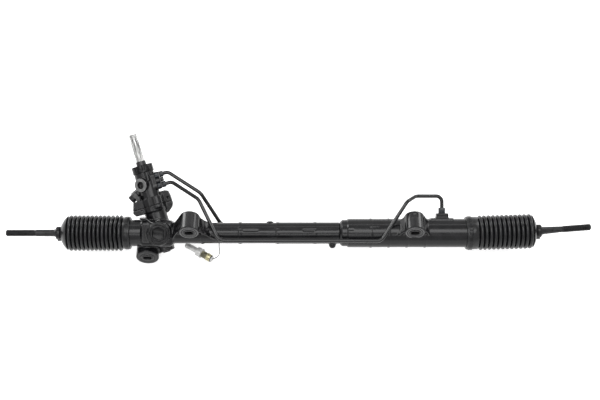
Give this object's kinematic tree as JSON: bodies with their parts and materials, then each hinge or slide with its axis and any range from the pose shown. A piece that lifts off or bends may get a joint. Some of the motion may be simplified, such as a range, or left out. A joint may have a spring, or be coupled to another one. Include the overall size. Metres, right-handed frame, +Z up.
{
  "type": "steering rack",
  "caption": "Hydraulic power steering rack with rotary valve, splined input, power cylinder, pipes, bellows boots and inner tie rods.",
  "frame": {"origin": "midway between the two slotted mount bushes, on the front faces of their sleeves", "axes": "+X along the rack from the pinion end to the cylinder end, -Y the way the mount bolts leave, +Z up from the rack to the mount bushes"},
  "size_m": [1.2299, 0.2261, 0.1697],
  "materials": {
    "cast_black": "satin black paint over a sand casting",
    "black_rubber": "moulded black rubber",
    "machined_steel": "ground and turned steel",
    "bright_steel": "bright splined steel",
    "dark_steel": "dark phosphated steel",
    "painted_pipe": "black coated steel tube",
    "zinc_nut": "bluish zinc plate",
    "zinc_union": "zinc plate, yellow at the thread",
    "wire_grey": "grey tie wire",
    "plastic": "natural bearing plastic",
    "yoke_alloy": "die-cast alloy"
  },
  "bodies": {
    "housing": {"pinion_housing": "cast_black", "cylinder_housing": "cast_black", "valve_housing": "cast_black", "valve_cap": "cast_black", "flange_bolts": "dark_steel", "return_union": "dark_steel", "bottom_cap": "cast_black", "left_bush_sleeve": "dark_steel", "left_bush_rubber": "black_rubber", "right_bush_sleeve": "dark_steel", "right_bush_rubber": "black_rubber", "lower_bush_sleeve": "dark_steel", "lower_bush_rubber": "black_rubber", "inner_rack_seal": "black_rubber", "rack_bushing": "plastic", "end_nut": "machined_steel", "bearing_balls": "machined_steel", "pinion_bearing_outer": "machined_steel", "pinion_seal": "black_rubber", "lower_bearing": "machined_steel", "input_bearing": "machined_steel", "input_seal": "black_rubber", "rack_yoke": "yoke_alloy", "yoke_liner": "plastic", "yoke_spring": "machined_steel", "yoke_plug": "dark_steel", "yoke_lock_ring": "dark_steel", "left_boot": "black_rubber", "right_boot": "black_rubber", "left_boot_clamp": "dark_steel", "right_boot_clamp": "dark_steel", "lower_pipe": "painted_pipe", "upper_pipe": "painted_pipe", "union_plate": "cast_black", "union_bolt": "dark_steel", "valve_union_nuts": "zinc_nut", "cylinder_union_nuts": "zinc_nut", "hose_union": "zinc_union", "union_ring": "black_rubber", "tie_wire": "wire_grey"},
    "rack": {"rack_bar": "machined_steel", "piston": "machined_steel", "piston_ring": "plastic", "left_ball_housing": "machined_steel", "right_ball_housing": "machined_steel", "lock_washers": "machined_steel"},
    "pinion": {"pinion": "machined_steel", "valve_sleeve": "machined_steel", "valve_rings": "plastic", "pinion_bearing_inner": "machined_steel"},
    "input_shaft": {"input_shaft": "bright_steel", "input_pin": "machined_steel", "torsion_bar": "machined_steel", "dust_collar": "black_rubber"},
    "left_ball_seat": {"left_ball_seat": "plastic"},
    "left_tie_rod": {"left_tie_rod": "dark_steel", "left_small_clamp": "dark_steel"},
    "right_ball_seat": {"right_ball_seat": "plastic"},
    "right_tie_rod": {"right_tie_rod": "dark_steel", "right_small_clamp": "dark_steel"}
  },
  "joints": [
    {"name": "rack_slide", "type": "slide", "parent": "housing", "child": "rack", "axis": [1, 0, 0], "range_m": [-0.07, 0.07], "deforming": ["left_boot", "right_boot"]},
    {"name": "pinion_spin", "type": "hinge", "parent": "housing", "child": "pinion", "pos_m": [-0.29715, 0.03425, -0.04993], "axis": [-0.2827, 0.7857, 0.5502], "range_deg": [-481.39, 481.39]},
    {"name": "valve_twist", "type": "hinge", "parent": "pinion", "child": "input_shaft", "pos_m": [-0.29715, 0.03425, -0.04993], "axis": [-0.2827, 0.7857, 0.5502], "range_deg": [-4, 4], "stiffness_Nm_per_rad": 90},
    {"name": "left_rod_sweep", "type": "hinge", "parent": "rack", "child": "left_ball_seat", "pos_m": [-0.46315, 0.0245, -0.036], "axis": [0, 0, 1], "range_deg": [-20, 20]},
    {"name": "left_rod_lift", "type": "hinge", "parent": "left_ball_seat", "child": "left_tie_rod", "pos_m": [-0.46315, 0.0245, -0.036], "axis": [0, 1, 0], "range_deg": [-20, 20]},
    {"name": "right_rod_sweep", "type": "hinge", "parent": "rack", "child": "right_ball_seat", "pos_m": [0.43985, 0.0245, -0.036], "axis": [0, 0, 1], "range_deg": [-25, 15]},
    {"name": "right_rod_lift", "type": "hinge", "parent": "right_ball_seat", "child": "right_tie_rod", "pos_m": [0.43985, 0.0245, -0.036], "axis": [-0.0889, 0.996, 0], "range_deg": [-20, 20]}
  ],
  "couplings": [
    {"joint": "pinion_spin", "follows": "rack_slide", "rad_per_m": 119.9}
  ]
}
